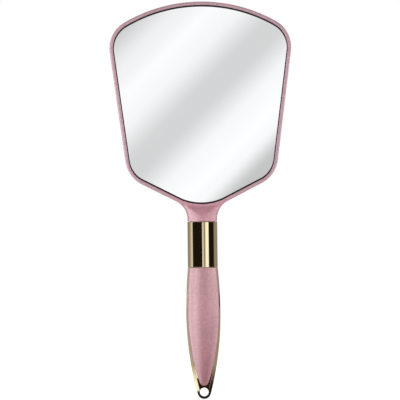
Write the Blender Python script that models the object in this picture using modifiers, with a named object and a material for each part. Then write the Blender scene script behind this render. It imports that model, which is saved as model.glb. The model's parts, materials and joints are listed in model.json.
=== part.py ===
"""Salon hand mirror: keystone head, plated collar and barrel handle with a hanging loop.

Frame: metres, +Z from the handle to the head, mirror face towards -Y. The origin is
on the handle's axis at its thickest point, in the middle of the hand grip.
"""

import math

import bmesh
import bpy
from mathutils import Matrix, Vector

MM = 0.001
GAP = 0.3 * MM
FINE_GAP = 0.15 * MM
OVERRUN = 1 * MM

# Head outline, seen from the front: four arcs a side, joined by straight tangents
HEAD_TOP = 234.3 * MM
TOP_RADIUS = 114.6 * MM
CORNER_RADIUS = 22.6 * MM
SIDE_HALF_WIDTH = 63.4 * MM
SIDE_HEIGHT = 160 * MM
SIDE_TILT = math.radians(7.5)
JAW_RADIUS = 23.3 * MM
CHIN_SLOPE = math.radians(27)
CHIN_RADIUS = 38.6 * MM
CHIN_BOTTOM = 78.9 * MM

# Head depths, front to back, and insets from the outline
RIM_FRONT = -6.4 * MM
RIM_BACK = 6.1 * MM
RIM_FRONT_ROUND = 1.4 * MM
RIM_BACK_ROUND = 2.5 * MM
RIM_WIDTH = 2.3 * MM
LIP_CHAMFER = 0.5 * MM
LIP_REACH = 0.1 * MM
GLASS_FRONT = -5.5 * MM
GLASS_THICKNESS = 2 * MM
GLASS_CHAMFER = 0.3 * MM
GASKET_WIDTH = 0.5 * MM
GASKET_FRONT = -5.8 * MM
TAPE_THICKNESS = 0.9 * MM
TAPE_SIZE = (84 * MM, 18 * MM)
TAPE_CORNER = 2 * MM
TAPE_HEIGHTS = {"tape_upper": 204 * MM, "tape_middle": 164 * MM, "tape_lower": 124 * MM}
WEB_FRONT = -2.2 * MM
WEB_BACK = -0.4 * MM
COVER_RIM_WIDTH = 3.2 * MM
COVER_BACK = 6.4 * MM
COVER_WALL = 1.8 * MM
COVER_ROUND = 0.9 * MM
PIN_RADIUS = 1.5 * MM
SOCKET_RADIUS = 3 * MM
SOCKET_DEPTH = 2.8 * MM
PIN_PLACES = [(x * MM, z * MM) for x, z in ((40, 205), (48, 160), (34, 112))]

# Neck, flaring from the collar into the chin
NECK_RADIUS = 11.2 * MM
NECK_BOTTOM = 68.9 * MM
NECK_EDGE = 0.4 * MM
FLARE_RADIUS = 15 * MM
FLARE_START = 70.7 * MM
FLARE_STEPS = 14
NECK_SINK = 2.5 * MM
FACET_TOP = 80.6 * MM
FACET_DEPTH = 6 * MM
FACET_SLOPE = 0.8
FACET_SOFTNESS = 8
FACET_THINNEST = 0.01 * MM

# Collar and what it joins
COLLAR_RADIUS = 11.25 * MM
COLLAR_BORE = 9.6 * MM
COLLAR_BOTTOM = 34.3 * MM
COLLAR_TOP = 68.6 * MM
COLLAR_EDGE = 0.4 * MM
SPIGOT_RADIUS = 9.3 * MM
SPIGOT_SEGMENTS = 64
NECK_SPIGOT_BOTTOM = 52 * MM
CORE_SPIGOT_TOP = 49.5 * MM

# Tie rod through the handle into a threaded insert in the neck
ROD_RADIUS = 2.5 * MM
ROD_BOTTOM = -14 * MM
ROD_TOP = 63 * MM
INSERT_RADIUS = 4 * MM
INSERT_BOTTOM = 53 * MM
INSERT_TOP = 65 * MM
WASHER_RADIUS = 5 * MM
WASHER_THICKNESS = 1 * MM
NUT_ACROSS_FLATS = 8 * MM
NUT_THICKNESS = 4 * MM
FASTENER_SEGMENTS = 32

# Handle outline, seen from the front: an arc up to the collar and one down to the loop
BELLY_HALF_WIDTH = 12.95 * MM
UPPER_RADIUS = 332 * MM
LOWER_RADIUS = 241.3 * MM
HANDLE_TOP = 34 * MM
RAIL_TOP = 34.2 * MM
LOOP_RADIUS = 5.2 * MM
HOLE_RADIUS = 3.35 * MM
CORE_HALF_DEPTH = 2.6 * MM
CORE_ROUND = 1.3 * MM
SPINE_RADIUS = 6 * MM
SPINE_BOTTOM = -6 * MM
SPINE_SEGMENTS = 40
WINDOW_HALF_WIDTH = 6.5 * MM
WINDOW_BOTTOM = -19 * MM

# Grip panels, one in front and one behind the core
GRIP_BASE = 2.8 * MM
RAIL_WIDTH = 0.9 * MM
TONGUE_HALF_WIDTH = 12.05 * MM
TONGUE_RADIUS = 163.4 * MM
TIP_RADIUS = 3.45 * MM
BELLY_DEPTH = 12 * MM
GRIP_TOP = 33.7 * MM
GRIP_END_DEPTH = 11.25 * MM
GRIP_TIP_DEPTH = 5.2 * MM
GRIP_TIP_POWER = 0.7
GRIP_TIP_FLAT = 0.02 * MM
GRIP_THINNEST = 0.12 * MM
GRIP_WALL = 2.2 * MM
GRIP_POWER = 2.15
HOLLOW_SHARE = 0.75
PEG_RADIUS = 2 * MM
PEG_ROOT = 7.9 * MM
PEG_PLACES = [(x * MM, z * MM) for x, z in ((7.6, 14), (-7.6, 14), (0, -34))]

# Colours
PINK = (0.54, 0.30, 0.34)
GOLD = (0.83, 0.66, 0.36)
SILVER = (0.9, 0.92, 0.93)
BLACK = (0.02, 0.018, 0.018)
FOAM = (0.75, 0.75, 0.72)
BRASS = (0.72, 0.55, 0.25)
STEEL = (0.58, 0.59, 0.61)

SHARP_ANGLE = math.radians(32)
MERGE_DISTANCE = 0.001 * MM
PARTS = "hand_mirror"
CUTTERS = "cutters"


def clear_scene():
    for thing in list(bpy.data.objects):
        bpy.data.objects.remove(thing, do_unlink=True)


def collection(name):
    if name not in bpy.data.collections:
        bpy.context.scene.collection.children.link(bpy.data.collections.new(name))
    return bpy.data.collections[name]


def material(name, colour, roughness, metallic=0.0):
    made = bpy.data.materials.new(name)
    made.use_nodes = True
    shader = made.node_tree.nodes["Principled BSDF"]
    shader.inputs["Base Color"].default_value = (*colour, 1)
    shader.inputs["Roughness"].default_value = roughness
    shader.inputs["Metallic"].default_value = metallic
    made.diffuse_color = (*colour, 1)
    return made


def pink_plastic(name):
    return material(name, PINK, 0.35)


def gold_plating(name):
    return material(name, GOLD, 0.08, 1.0)


# Building blocks


def add_mesh(name, bm, finish=None):
    """Mesh object with its faces pointing out and round sides shaded smooth."""
    bmesh.ops.recalc_face_normals(bm, faces=bm.faces)
    mesh = bpy.data.meshes.new(name)
    bm.to_mesh(mesh)
    bm.free()
    made = bpy.data.objects.new(name, mesh)
    collection(PARTS if finish else CUTTERS).objects.link(made)
    if finish:
        mesh.materials.append(finish)
        mesh.shade_smooth()
        mesh.set_sharp_from_angle(angle=SHARP_ANGLE)
    else:
        made.hide_render = True
        made.display_type = "WIRE"
    return made


def loft(name, rings, finish=None, closed=False):
    """Skin through rings of equal length, capped at both ends unless the last meets the first."""
    bm = bmesh.new()
    rows = [[bm.verts.new(point) for point in ring] for ring in rings]
    pairs = list(zip(rows, rows[1:]))
    if closed:
        pairs.append((rows[-1], rows[0]))
    else:
        bm.faces.new(rows[0])
        bm.faces.new(rows[-1])
    for low, high in pairs:
        for i in range(len(low)):
            j = (i + 1) % len(low)
            bm.faces.new((low[i], low[j], high[j], high[i]))
    return add_mesh(name, bm, finish)


def cylinder(name, radius, start, end, finish=None, segments=FASTENER_SEGMENTS):
    """Round bar between two points."""
    start = Vector(start)
    span = Vector(end) - start
    turn = span.to_track_quat("Z", "Y").to_matrix().to_4x4()
    bm = bmesh.new()
    bmesh.ops.create_cone(
        bm,
        cap_ends=True,
        segments=segments,
        radius1=radius,
        radius2=radius,
        depth=span.length,
        matrix=Matrix.Translation(start + span / 2) @ turn,
    )
    return add_mesh(name, bm, finish)


def box(name, low, high):
    """Cutter with the given lowest and highest corners."""
    low = Vector(low)
    high = Vector(high)
    bm = bmesh.new()
    place = Matrix.Translation((low + high) / 2) @ Matrix.Diagonal((*(high - low), 1))
    bmesh.ops.create_cube(bm, size=1, matrix=place)
    return add_mesh(name, bm)


def turned(name, profile, finish, segments=64):
    """Solid of revolution about Z of a closed (radius, height) profile."""
    bm = bmesh.new()
    points = [bm.verts.new((radius, 0, height)) for radius, height in profile]
    for a, b in zip(points, points[1:] + points[:1]):
        bm.edges.new((a, b))
    mesh = bpy.data.meshes.new(name)
    bm.to_mesh(mesh)
    bm.free()
    mesh.materials.append(finish)
    made = bpy.data.objects.new(name, mesh)
    collection(PARTS).objects.link(made)
    screw = made.modifiers.new("turn", "SCREW")
    screw.steps = segments
    screw.render_steps = segments
    screw.use_merge_vertices = True
    screw.merge_threshold = MERGE_DISTANCE
    screw.use_smooth_shade = True
    return made


def extruded(name, outline, half_depth, middle, rounding, finish):
    """Flat (x, z) outline given depth along Y, with its edges rounded."""
    curve = bpy.data.curves.new(name, "CURVE")
    curve.dimensions = "2D"
    curve.fill_mode = "BOTH"
    curve.extrude = half_depth - rounding
    curve.bevel_depth = rounding
    curve.bevel_resolution = 3
    curve.offset = -rounding
    spline = curve.splines.new("POLY")
    spline.points.add(len(outline) - 1)
    for point, (x, z) in zip(spline.points, outline):
        point.co = (x, z, 0, 1)
    spline.use_cyclic_u = True
    guide = bpy.data.objects.new(name + "_outline", curve)
    collection(PARTS).objects.link(guide)
    evaluated = guide.evaluated_get(bpy.context.evaluated_depsgraph_get())
    bm = bmesh.new()
    bm.from_mesh(bpy.data.meshes.new_from_object(evaluated))
    bmesh.ops.remove_doubles(bm, verts=bm.verts, dist=MERGE_DISTANCE)
    upright = Matrix.Translation((0, middle, 0)) @ Matrix.Rotation(math.pi / 2, 4, "X")
    bmesh.ops.transform(bm, matrix=upright, verts=bm.verts)
    bpy.data.objects.remove(guide)
    return add_mesh(name, bm, finish)


def combine(target, operation, *others):
    """Boolean modifiers that join the others to target, or cut them from it."""
    for other in others:
        step = target.modifiers.new(other.name, "BOOLEAN")
        step.operation = operation
        step.object = other
        step.solver = "EXACT"


def arc(centre, radius, start, end, steps):
    """(x, z) points from angle start to angle end, both included."""
    angles = [start + (end - start) * i / steps for i in range(steps + 1)]
    return [(centre[0] + radius * math.cos(a), centre[1] + radius * math.sin(a)) for a in angles]


def mirrored(half):
    """Closed outline from its right half, which starts and ends on the middle line."""
    return half + [(-x, z) for x, z in reversed(half[1:-1])]


# Head outline


def head_arcs():
    """(centre, radius, start angle, end angle, steps) of the right half's arcs, top to chin."""
    side = Vector((math.cos(SIDE_TILT), -math.sin(SIDE_TILT)))
    chin = Vector((math.sin(CHIN_SLOPE), -math.cos(CHIN_SLOPE)))
    top_centre = Vector((0, HEAD_TOP - TOP_RADIUS))
    chin_centre = Vector((0, CHIN_BOTTOM + CHIN_RADIUS))
    side_reach = side.dot(Vector((SIDE_HALF_WIDTH, SIDE_HEIGHT)))
    chin_reach = chin.dot(chin_centre) + CHIN_RADIUS

    # The jaw's circle touches the side line and the chin line.
    a = side_reach - JAW_RADIUS
    b = chin_reach - JAW_RADIUS
    across = side.x * chin.y - side.y * chin.x
    jaw_centre = Vector((a * chin.y - b * side.y, b * side.x - a * chin.x)) / across

    # The corner's circle touches the side line, and the top arc from inside.
    along = Vector((-side.y, side.x))
    foot = side * (side_reach - CORNER_RADIUS) - top_centre
    reach = TOP_RADIUS - CORNER_RADIUS
    slide = math.sqrt(reach**2 - foot.dot(foot) + foot.dot(along) ** 2) - foot.dot(along)
    from_top = foot + along * slide
    corner_centre = top_centre + from_top

    shoulder = math.atan2(from_top.y, from_top.x)
    flank = -SIDE_TILT
    cheek = CHIN_SLOPE - math.pi / 2
    return (
        (top_centre, TOP_RADIUS, math.pi / 2, shoulder, 12),
        (corner_centre, CORNER_RADIUS, shoulder, flank, 12),
        (jaw_centre, JAW_RADIUS, flank, cheek, 9),
        (chin_centre, CHIN_RADIUS, cheek, -math.pi / 2, 6),
    )


def keystone(inset, depth):
    """The head's outline moved in by inset, as points at the given depth along Y."""
    top, corner, jaw, chin = (
        arc(centre, radius - inset, start, end, steps)
        for centre, radius, start, end, steps in head_arcs()
    )
    return [(x, depth, z) for x, z in mirrored(top + corner[1:] + jaw + chin)]


def round_over(depth, direction, radius, steps=4):
    """(inset, depth) profile from a flat face at depth round to the side, direction inwards."""
    turns = [math.pi / 2 * i / steps for i in range(steps + 1)]
    return [
        (radius * (1 - math.sin(a)), depth + direction * radius * (1 - math.cos(a)))
        for a in turns
    ]


def shaped_like_head(name, profile, finish=None, closed=False):
    """Solid whose edge follows an (inset, depth) profile all the way round the head."""
    return loft(name, [keystone(inset, depth) for inset, depth in profile], finish, closed)


# Head parts


def neck_ring(half_width, height, steps=48):
    """Round section of the neck, flattened front and back by its sloping facets."""
    limit = FACET_DEPTH + max(FACET_TOP - height, 0) * FACET_SLOPE
    ring = []
    for i in range(steps):
        turn = 2 * math.pi * i / steps
        depth = max(NECK_RADIUS * abs(math.sin(turn)), FACET_THINNEST)
        depth = (depth**-FACET_SOFTNESS + limit**-FACET_SOFTNESS) ** (-1 / FACET_SOFTNESS)
        ring.append((half_width * math.cos(turn), math.copysign(depth, math.sin(turn)), height))
    return ring


def neck():
    """Round neck that flares into the chin, with the spigot that the collar slides over."""
    turns = [(math.pi / 2 - CHIN_SLOPE) * i / FLARE_STEPS for i in range(FLARE_STEPS + 1)]
    flare = [
        (NECK_RADIUS + FLARE_RADIUS * (1 - math.cos(a)), FLARE_START + FLARE_RADIUS * math.sin(a))
        for a in turns
    ]
    flare_width, flare_top = flare[-1]
    sections = [
        (NECK_RADIUS - NECK_EDGE, NECK_BOTTOM),
        (NECK_RADIUS, NECK_BOTTOM + NECK_EDGE),
        *flare,
        (flare_width - NECK_SINK, flare_top + NECK_SINK),
    ]
    made = loft("neck", [neck_ring(*section) for section in sections])
    spigot = cylinder(
        "neck_spigot",
        SPIGOT_RADIUS,
        (0, 0, NECK_SPIGOT_BOTTOM),
        (0, 0, NECK_BOTTOM + OVERRUN),
        segments=SPIGOT_SEGMENTS,
    )
    combine(made, "UNION", spigot)
    return made


def glass_pocket():
    """Recess in the front for the glass, its mouth chamfered."""
    mouth = RIM_WIDTH - LIP_CHAMFER - LIP_REACH
    profile = [
        (RIM_WIDTH, WEB_FRONT),
        (RIM_WIDTH, RIM_FRONT + LIP_CHAMFER),
        (mouth, RIM_FRONT - LIP_REACH),
        (mouth, 2 * RIM_FRONT),
    ]
    return shaped_like_head("glass_pocket", profile)


def head_frame():
    """Moulded rim, web and neck in one piece, with sockets behind for the cover's pins."""
    front = round_over(RIM_FRONT, 1, RIM_FRONT_ROUND)
    back = round_over(RIM_BACK, -1, RIM_BACK_ROUND, 5)
    frame = shaped_like_head("head_frame", front + back[::-1], pink_plastic("frame_pink"))
    cover_profile = [(COVER_RIM_WIDTH, WEB_BACK), (COVER_RIM_WIDTH, 2 * RIM_BACK)]
    cover_pocket = shaped_like_head("cover_pocket", cover_profile)
    insert_bore = cylinder(
        "insert_bore",
        INSERT_RADIUS + GAP,
        (0, 0, NECK_SPIGOT_BOTTOM - OVERRUN),
        (0, 0, INSERT_TOP + GAP),
    )
    combine(frame, "UNION", neck())
    combine(frame, "DIFFERENCE", glass_pocket(), cover_pocket, insert_bore)
    rim = WEB_BACK + SOCKET_DEPTH
    for i, (x, z) in enumerate(both_sides(PIN_PLACES)):
        socket = cylinder(f"socket_{i}", SOCKET_RADIUS, (x, WEB_BACK - OVERRUN, z), (x, rim, z))
        floor = (x, WEB_BACK + GAP, z)
        hole = cylinder(f"hole_{i}", PIN_RADIUS + GAP, floor, (x, rim + OVERRUN, z))
        combine(frame, "UNION", socket)
        combine(frame, "DIFFERENCE", hole)
    return frame


def both_sides(places):
    return places + [(-x, z) for x, z in places]


def back_cover():
    finish = pink_plastic("cover_pink")
    outer = COVER_RIM_WIDTH + GAP
    edge = round_over(COVER_BACK, -1, COVER_ROUND)
    inner_face = COVER_BACK - COVER_WALL
    foot = WEB_BACK + GAP
    profile = [(outer + inset, depth) for inset, depth in edge]
    profile += [
        (outer, foot),
        (outer + COVER_WALL, foot),
        (outer + COVER_WALL, inner_face),
    ]
    cover = shaped_like_head("back_cover", profile, finish)
    for i, (x, z) in enumerate(both_sides(PIN_PLACES)):
        pin = cylinder(
            f"cover_pin_{i}",
            PIN_RADIUS,
            (x, WEB_BACK + 3 * GAP, z),
            (x, inner_face + COVER_WALL / 2, z),
        )
        combine(cover, "UNION", pin)
    return cover


def glass_inset():
    return RIM_WIDTH + FINE_GAP + GASKET_WIDTH + FINE_GAP


def mirror_glass():
    finish = material("silvered_glass", SILVER, 0.02, 1.0)
    inset = glass_inset()
    back = GLASS_FRONT + GLASS_THICKNESS
    profile = [
        (inset + GLASS_CHAMFER, GLASS_FRONT),
        (inset, GLASS_FRONT + GLASS_CHAMFER),
        (inset, back),
    ]
    return shaped_like_head("mirror_glass", profile, finish)


def glass_gasket():
    finish = material("black_rubber", BLACK, 0.6)
    outer = RIM_WIDTH + FINE_GAP
    inner = outer + GASKET_WIDTH
    back = WEB_FRONT - FINE_GAP
    crown = GASKET_FRONT + GASKET_WIDTH / 4
    profile = [
        (outer, crown),
        (outer + GASKET_WIDTH / 4, GASKET_FRONT),
        (inner - GASKET_WIDTH / 4, GASKET_FRONT),
        (inner, crown),
        (inner, back),
        (outer, back),
    ]
    return shaped_like_head("glass_gasket", profile, finish, closed=True)


def foam_tape(name, height):
    """Double-sided tape between the glass and the frame's web."""
    finish = material(name + "_foam", FOAM, 0.9)
    half_width = TAPE_SIZE[0] / 2
    half_height = TAPE_SIZE[1] / 2
    reach = half_height - TAPE_CORNER
    half = []
    for z, start in ((reach, math.pi / 2), (-reach, 0)):
        centre = (half_width - TAPE_CORNER, height + z)
        half += arc(centre, TAPE_CORNER, start, start - math.pi / 2, 4)
    outline = half + [(-x, z) for x, z in reversed(half)]
    middle = (GLASS_FRONT + GLASS_THICKNESS + WEB_FRONT) / 2
    return extruded(name, outline, TAPE_THICKNESS / 2, middle, 0, finish)


# Collar and tie rod


def gold_collar():
    """Plated tube that joins the neck to the handle."""
    low = COLLAR_BOTTOM
    high = COLLAR_TOP
    outer = arc((COLLAR_RADIUS - COLLAR_EDGE, high - COLLAR_EDGE), COLLAR_EDGE, math.pi / 2, 0, 3)
    outer += arc((COLLAR_RADIUS - COLLAR_EDGE, low + COLLAR_EDGE), COLLAR_EDGE, 0, -math.pi / 2, 3)
    profile = outer + [(COLLAR_BORE, low), (COLLAR_BORE, high)]
    return turned("gold_collar", profile, gold_plating("collar_gold"))


def tube_profile(bore, radius, low, high):
    return [(radius, high), (radius, low), (bore, low), (bore, high)]


def neck_insert():
    """Threaded brass insert in the neck's spigot."""
    finish = material("insert_brass", BRASS, 0.3, 1.0)
    profile = tube_profile(ROD_RADIUS + FINE_GAP, INSERT_RADIUS, INSERT_BOTTOM, INSERT_TOP)
    return turned("neck_insert", profile, finish, FASTENER_SEGMENTS)


def tie_rod():
    """Steel rod that pulls the handle and the collar up against the neck."""
    finish = material("rod_steel", STEEL, 0.3, 1.0)
    return cylinder("tie_rod", ROD_RADIUS, (0, 0, ROD_BOTTOM), (0, 0, ROD_TOP), finish)


def washer_top():
    return SPINE_BOTTOM - GAP


def rod_washer():
    finish = material("washer_steel", STEEL, 0.3, 1.0)
    high = washer_top()
    profile = tube_profile(ROD_RADIUS + FINE_GAP, WASHER_RADIUS, high - WASHER_THICKNESS, high)
    return turned("rod_washer", profile, finish, FASTENER_SEGMENTS)


def rod_nut():
    finish = material("nut_steel", STEEL, 0.3, 1.0)
    high = washer_top() - WASHER_THICKNESS - GAP
    corner_radius = NUT_ACROSS_FLATS / 2 / math.cos(math.pi / 6)
    low = high - NUT_THICKNESS
    nut = cylinder("rod_nut", corner_radius, (0, 0, low), (0, 0, high), finish, 6)
    ends = ((0, 0, low - OVERRUN), (0, 0, high + OVERRUN))
    thread = cylinder("nut_thread", ROD_RADIUS + FINE_GAP, *ends)
    combine(nut, "DIFFERENCE", thread)
    return nut


# Handle


def loop_centre():
    """Height of the loop's centre, where its circle touches the lower arc from inside."""
    offset = LOWER_RADIUS - BELLY_HALF_WIDTH
    return -math.sqrt((LOWER_RADIUS - LOOP_RADIUS) ** 2 - offset**2)


def handle_outline(top):
    """Front outline of the core: loop, lower arc and upper arc, cut off level at top."""
    offset = LOWER_RADIUS - BELLY_HALF_WIDTH
    touch = math.atan2(loop_centre(), offset)
    half = arc((0, loop_centre()), LOOP_RADIUS, -math.pi / 2, touch, 14)
    half += arc((-offset, 0), LOWER_RADIUS, touch, 0, 16)[1:]
    rise = math.asin(top / UPPER_RADIUS)
    half += arc((BELLY_HALF_WIDTH - UPPER_RADIUS, 0), UPPER_RADIUS, 0, rise, 8)[1:]
    return mirrored(half + [(0, top)])


def handle_core():
    """Plated core: side rails, hanging loop, spine for the tie rod and collar spigot."""
    finish = gold_plating("core_gold")
    over = HANDLE_TOP + 2 * CORE_ROUND
    core = extruded("handle_core", handle_outline(over), CORE_HALF_DEPTH, 0, CORE_ROUND, finish)
    wide = 2 * BELLY_HALF_WIDTH
    trim = box("core_trim", (-wide, -wide, RAIL_TOP), (wide, wide, 2 * RAIL_TOP))
    spine = cylinder(
        "spine",
        SPINE_RADIUS,
        (0, 0, SPINE_BOTTOM - OVERRUN),
        (0, 0, HANDLE_TOP + OVERRUN),
        segments=SPINE_SEGMENTS,
    )
    spigot = cylinder(
        "core_spigot",
        SPIGOT_RADIUS,
        (0, 0, HANDLE_TOP),
        (0, 0, CORE_SPIGOT_TOP),
        segments=SPIGOT_SEGMENTS,
    )
    rod_bore = cylinder(
        "rod_bore",
        ROD_RADIUS + GAP,
        (0, 0, 2 * SPINE_BOTTOM),
        (0, 0, CORE_SPIGOT_TOP + OVERRUN),
    )
    window = box(
        "window",
        (-WINDOW_HALF_WIDTH, -wide, WINDOW_BOTTOM),
        (WINDOW_HALF_WIDTH, wide, SPINE_BOTTOM),
    )
    z = loop_centre()
    hole = cylinder("hanging_hole", HOLE_RADIUS, (0, -wide, z), (0, wide, z), segments=48)
    combine(core, "DIFFERENCE", trim)
    combine(core, "UNION", spine, spigot)
    combine(core, "DIFFERENCE", rod_bore, window, hole)
    for i, (x, z) in enumerate(PEG_PLACES):
        socket = cylinder(f"peg_hole_{i}", PEG_RADIUS + GAP, (x, -wide, z), (x, wide, z))
        combine(core, "DIFFERENCE", socket)
    return core


def tip_centre():
    offset = TONGUE_RADIUS - TONGUE_HALF_WIDTH
    return -math.sqrt((TONGUE_RADIUS - TIP_RADIUS) ** 2 - offset**2)


def grip_half_width(height):
    """Half-width of a grip panel: a rail's width inside the core, and a tongue lower down."""
    if height >= 0:
        fall = UPPER_RADIUS - math.sqrt(UPPER_RADIUS**2 - height**2)
        return BELLY_HALF_WIDTH - RAIL_WIDTH - fall
    centre = tip_centre()
    offset = TONGUE_RADIUS - TONGUE_HALF_WIDTH
    touch = centre * TONGUE_RADIUS / (TONGUE_RADIUS - TIP_RADIUS)
    if height > touch:
        return math.sqrt(TONGUE_RADIUS**2 - height**2) - offset
    return math.sqrt(max(TIP_RADIUS**2 - (height - centre) ** 2, 0))


def grip_depth(height):
    """Distance of a grip panel's outer surface from the handle's axis, on its middle line."""
    if height >= 0:
        return BELLY_DEPTH - (BELLY_DEPTH - GRIP_END_DEPTH) * (height / GRIP_TOP) ** 2
    centre = tip_centre()
    fall = (BELLY_DEPTH - GRIP_TIP_DEPTH) * (height / centre) ** 2
    depth = BELLY_DEPTH - fall
    if height >= centre:
        return depth
    across = math.sqrt(max(1 - ((height - centre) / TIP_RADIUS) ** 2, 0))
    return GRIP_BASE + (depth - GRIP_BASE) * across**GRIP_TIP_POWER


def grip_ring(height, base, shrink, steps=20):
    """D-shaped section: flat on the core's side at depth base, domed outside."""
    half_width = max(grip_half_width(height) - shrink, GRIP_THINNEST)
    rise = max(grip_depth(height) - shrink - base, GRIP_THINNEST)
    ring = []
    for i in range(steps + 1):
        turn = math.pi * i / steps
        across = math.copysign(abs(math.cos(turn)) ** (2 / GRIP_POWER), math.cos(turn))
        up = math.sin(turn) ** (2 / GRIP_POWER) if 0 < i < steps else 0
        ring.append((half_width * across, -base - rise * up, height))
    return ring


def grip_panel(name, behind):
    """Domed shell with three pegs that go into the core, in front of it or behind it."""
    tip = tip_centre()
    heights = [GRIP_TOP * (1 - i / 6) for i in range(7)]
    heights += [tip * i / 10 for i in range(1, 11)]
    heights += [tip - TIP_RADIUS * math.sin(math.pi / 2 * i / 7) for i in range(1, 7)]
    heights.append(tip - TIP_RADIUS + GRIP_TIP_FLAT)
    outer = [grip_ring(height, GRIP_BASE, 0) for height in heights]

    hollow_top = GRIP_TOP - GRIP_WALL
    hollow_bottom = tip * HOLLOW_SHARE
    hollow_heights = [hollow_top + (hollow_bottom - hollow_top) * i / 8 for i in range(9)]
    inner = [grip_ring(height, GRIP_BASE - OVERRUN, GRIP_WALL, 12) for height in hollow_heights]

    pegs = [((x, -GAP, z), (x, -PEG_ROOT, z)) for x, z in PEG_PLACES]
    if behind:
        outer = [turned_round(ring) for ring in outer]
        inner = [turned_round(ring) for ring in inner]
        pegs = [turned_round(peg) for peg in pegs]
    grip = loft(name, outer, pink_plastic(name + "_pink"))
    spine_room = cylinder(
        name + "_spine_room",
        SPINE_RADIUS + GAP,
        (0, 0, 0),
        (0, 0, GRIP_TOP + OVERRUN),
        segments=SPINE_SEGMENTS,
    )
    combine(grip, "DIFFERENCE", loft(name + "_hollow", inner), spine_room)
    for i, (start, end) in enumerate(pegs):
        combine(grip, "UNION", cylinder(f"{name}_peg_{i}", PEG_RADIUS, start, end))
    return grip


def turned_round(points):
    return [(-x, -y, z) for x, y, z in points]


def main():
    clear_scene()
    head_frame()
    back_cover()
    mirror_glass()
    glass_gasket()
    for name, height in TAPE_HEIGHTS.items():
        foam_tape(name, height)
    neck_insert()
    tie_rod()
    rod_washer()
    rod_nut()
    gold_collar()
    handle_core()
    grip_panel("front_grip", behind=False)
    grip_panel("rear_grip", behind=True)


main()
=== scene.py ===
"""Salon hand mirror in pearl pink plastic with champagne gold plating and a silvered glass.

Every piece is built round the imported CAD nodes, in metres: +Z from the handle to the
head, and the mirror face towards -Y.
"""

import json
import math

import bmesh
import bpy
from mathutils import Matrix, Vector

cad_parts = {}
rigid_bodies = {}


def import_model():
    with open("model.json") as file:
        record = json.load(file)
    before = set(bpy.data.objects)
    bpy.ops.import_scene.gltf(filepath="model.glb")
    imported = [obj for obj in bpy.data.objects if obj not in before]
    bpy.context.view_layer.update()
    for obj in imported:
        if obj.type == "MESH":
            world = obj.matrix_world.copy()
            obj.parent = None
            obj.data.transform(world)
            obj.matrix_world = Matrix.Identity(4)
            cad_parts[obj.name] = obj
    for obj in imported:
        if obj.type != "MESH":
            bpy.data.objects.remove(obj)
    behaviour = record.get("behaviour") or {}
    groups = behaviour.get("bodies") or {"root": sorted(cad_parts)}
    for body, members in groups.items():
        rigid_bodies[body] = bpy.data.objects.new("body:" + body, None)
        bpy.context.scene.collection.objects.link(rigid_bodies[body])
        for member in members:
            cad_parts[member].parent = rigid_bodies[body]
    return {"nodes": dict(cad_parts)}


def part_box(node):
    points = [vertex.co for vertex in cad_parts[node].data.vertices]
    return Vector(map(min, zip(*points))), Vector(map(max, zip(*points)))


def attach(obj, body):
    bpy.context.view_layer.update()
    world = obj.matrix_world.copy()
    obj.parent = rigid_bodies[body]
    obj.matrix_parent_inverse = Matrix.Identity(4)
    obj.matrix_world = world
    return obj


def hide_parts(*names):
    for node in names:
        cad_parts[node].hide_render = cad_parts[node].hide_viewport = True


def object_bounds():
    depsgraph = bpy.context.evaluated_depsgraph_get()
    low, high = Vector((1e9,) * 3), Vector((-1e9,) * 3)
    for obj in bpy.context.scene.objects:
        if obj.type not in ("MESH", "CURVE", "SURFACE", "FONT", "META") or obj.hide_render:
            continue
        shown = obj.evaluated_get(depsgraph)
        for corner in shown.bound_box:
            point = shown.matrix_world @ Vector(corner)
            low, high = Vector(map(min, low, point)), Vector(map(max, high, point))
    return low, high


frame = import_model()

CAD_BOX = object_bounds()
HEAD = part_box("head_frame")
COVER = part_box("back_cover")
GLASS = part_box("mirror_glass")
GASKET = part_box("glass_gasket")
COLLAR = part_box("gold_collar")
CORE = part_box("handle_core")
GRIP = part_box("front_grip")
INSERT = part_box("neck_insert")

MM = 0.001
GAP = 0.3 * MM
OVERRUN = 1 * MM
MERGE_DISTANCE = 0.002 * MM
SHARP_ANGLE = math.radians(40)
GLASS_SHARP_ANGLE = math.radians(20)
ROUND_STEPS = 8
ROD_SEGMENTS = 64
PIN_SEGMENTS = 32
BODY = "root"

# Head outline, seen from the front: four arcs a side, joined by straight tangents
TOP_RADIUS = 114.6 * MM
CORNER_RADIUS = 22.6 * MM
SIDE_HALF_WIDTH = 63.4 * MM
SIDE_HEIGHT = 160 * MM
SIDE_TILT = math.radians(7.5)
JAW_RADIUS = 23.3 * MM
CHIN_SLOPE = math.radians(27)
CHIN_RADIUS = 38.6 * MM
CHIN_BOTTOM = 78.9 * MM
ARC_STEPS = (40, 28, 22, 20)

# Head depths, front to back, and insets from the outline
RIM_FRONT = -6.4 * MM
RIM_BACK = 6.1 * MM
RIM_FRONT_ROUND = 1.4 * MM
RIM_BACK_ROUND = 2.5 * MM
LIP_ROUND = 0.35 * MM
WEB_FRONT = -2.2 * MM
WEB_BACK = -0.4 * MM
COVER_WALL = 1.8 * MM
COVER_ROUND = 0.9 * MM
COVER_INSET = 3.5 * MM
GLASS_CHAMFER = 0.15 * MM
GROOVE_INSET = 2.95 * MM
GROOVE_TOP_SHIFT = 0.2 * MM
GROOVE_JAW_SHIFT = -0.25 * MM
GROOVE_CHIN_SHIFT = 0.85 * MM
GROOVE_CHIN_POWER = 6
GROOVE_WIDTH_SIDES = 0.5 * MM
GROOVE_WIDTH_ENDS = 1.1 * MM
GASKET_CROWN = 0.2 * MM
GASKET_CLEARANCE = 0.04 * MM
PIN_RADIUS = 1.5 * MM
SOCKET_RADIUS = 3 * MM
SOCKET_DEPTH = 2.8 * MM
LIP_STEPS = 5
CROWN_STEPS = 10
PIN_PLACES = [(x * MM, z * MM) for x, z in ((40, 205), (48, 160), (34, 112))]

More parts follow.
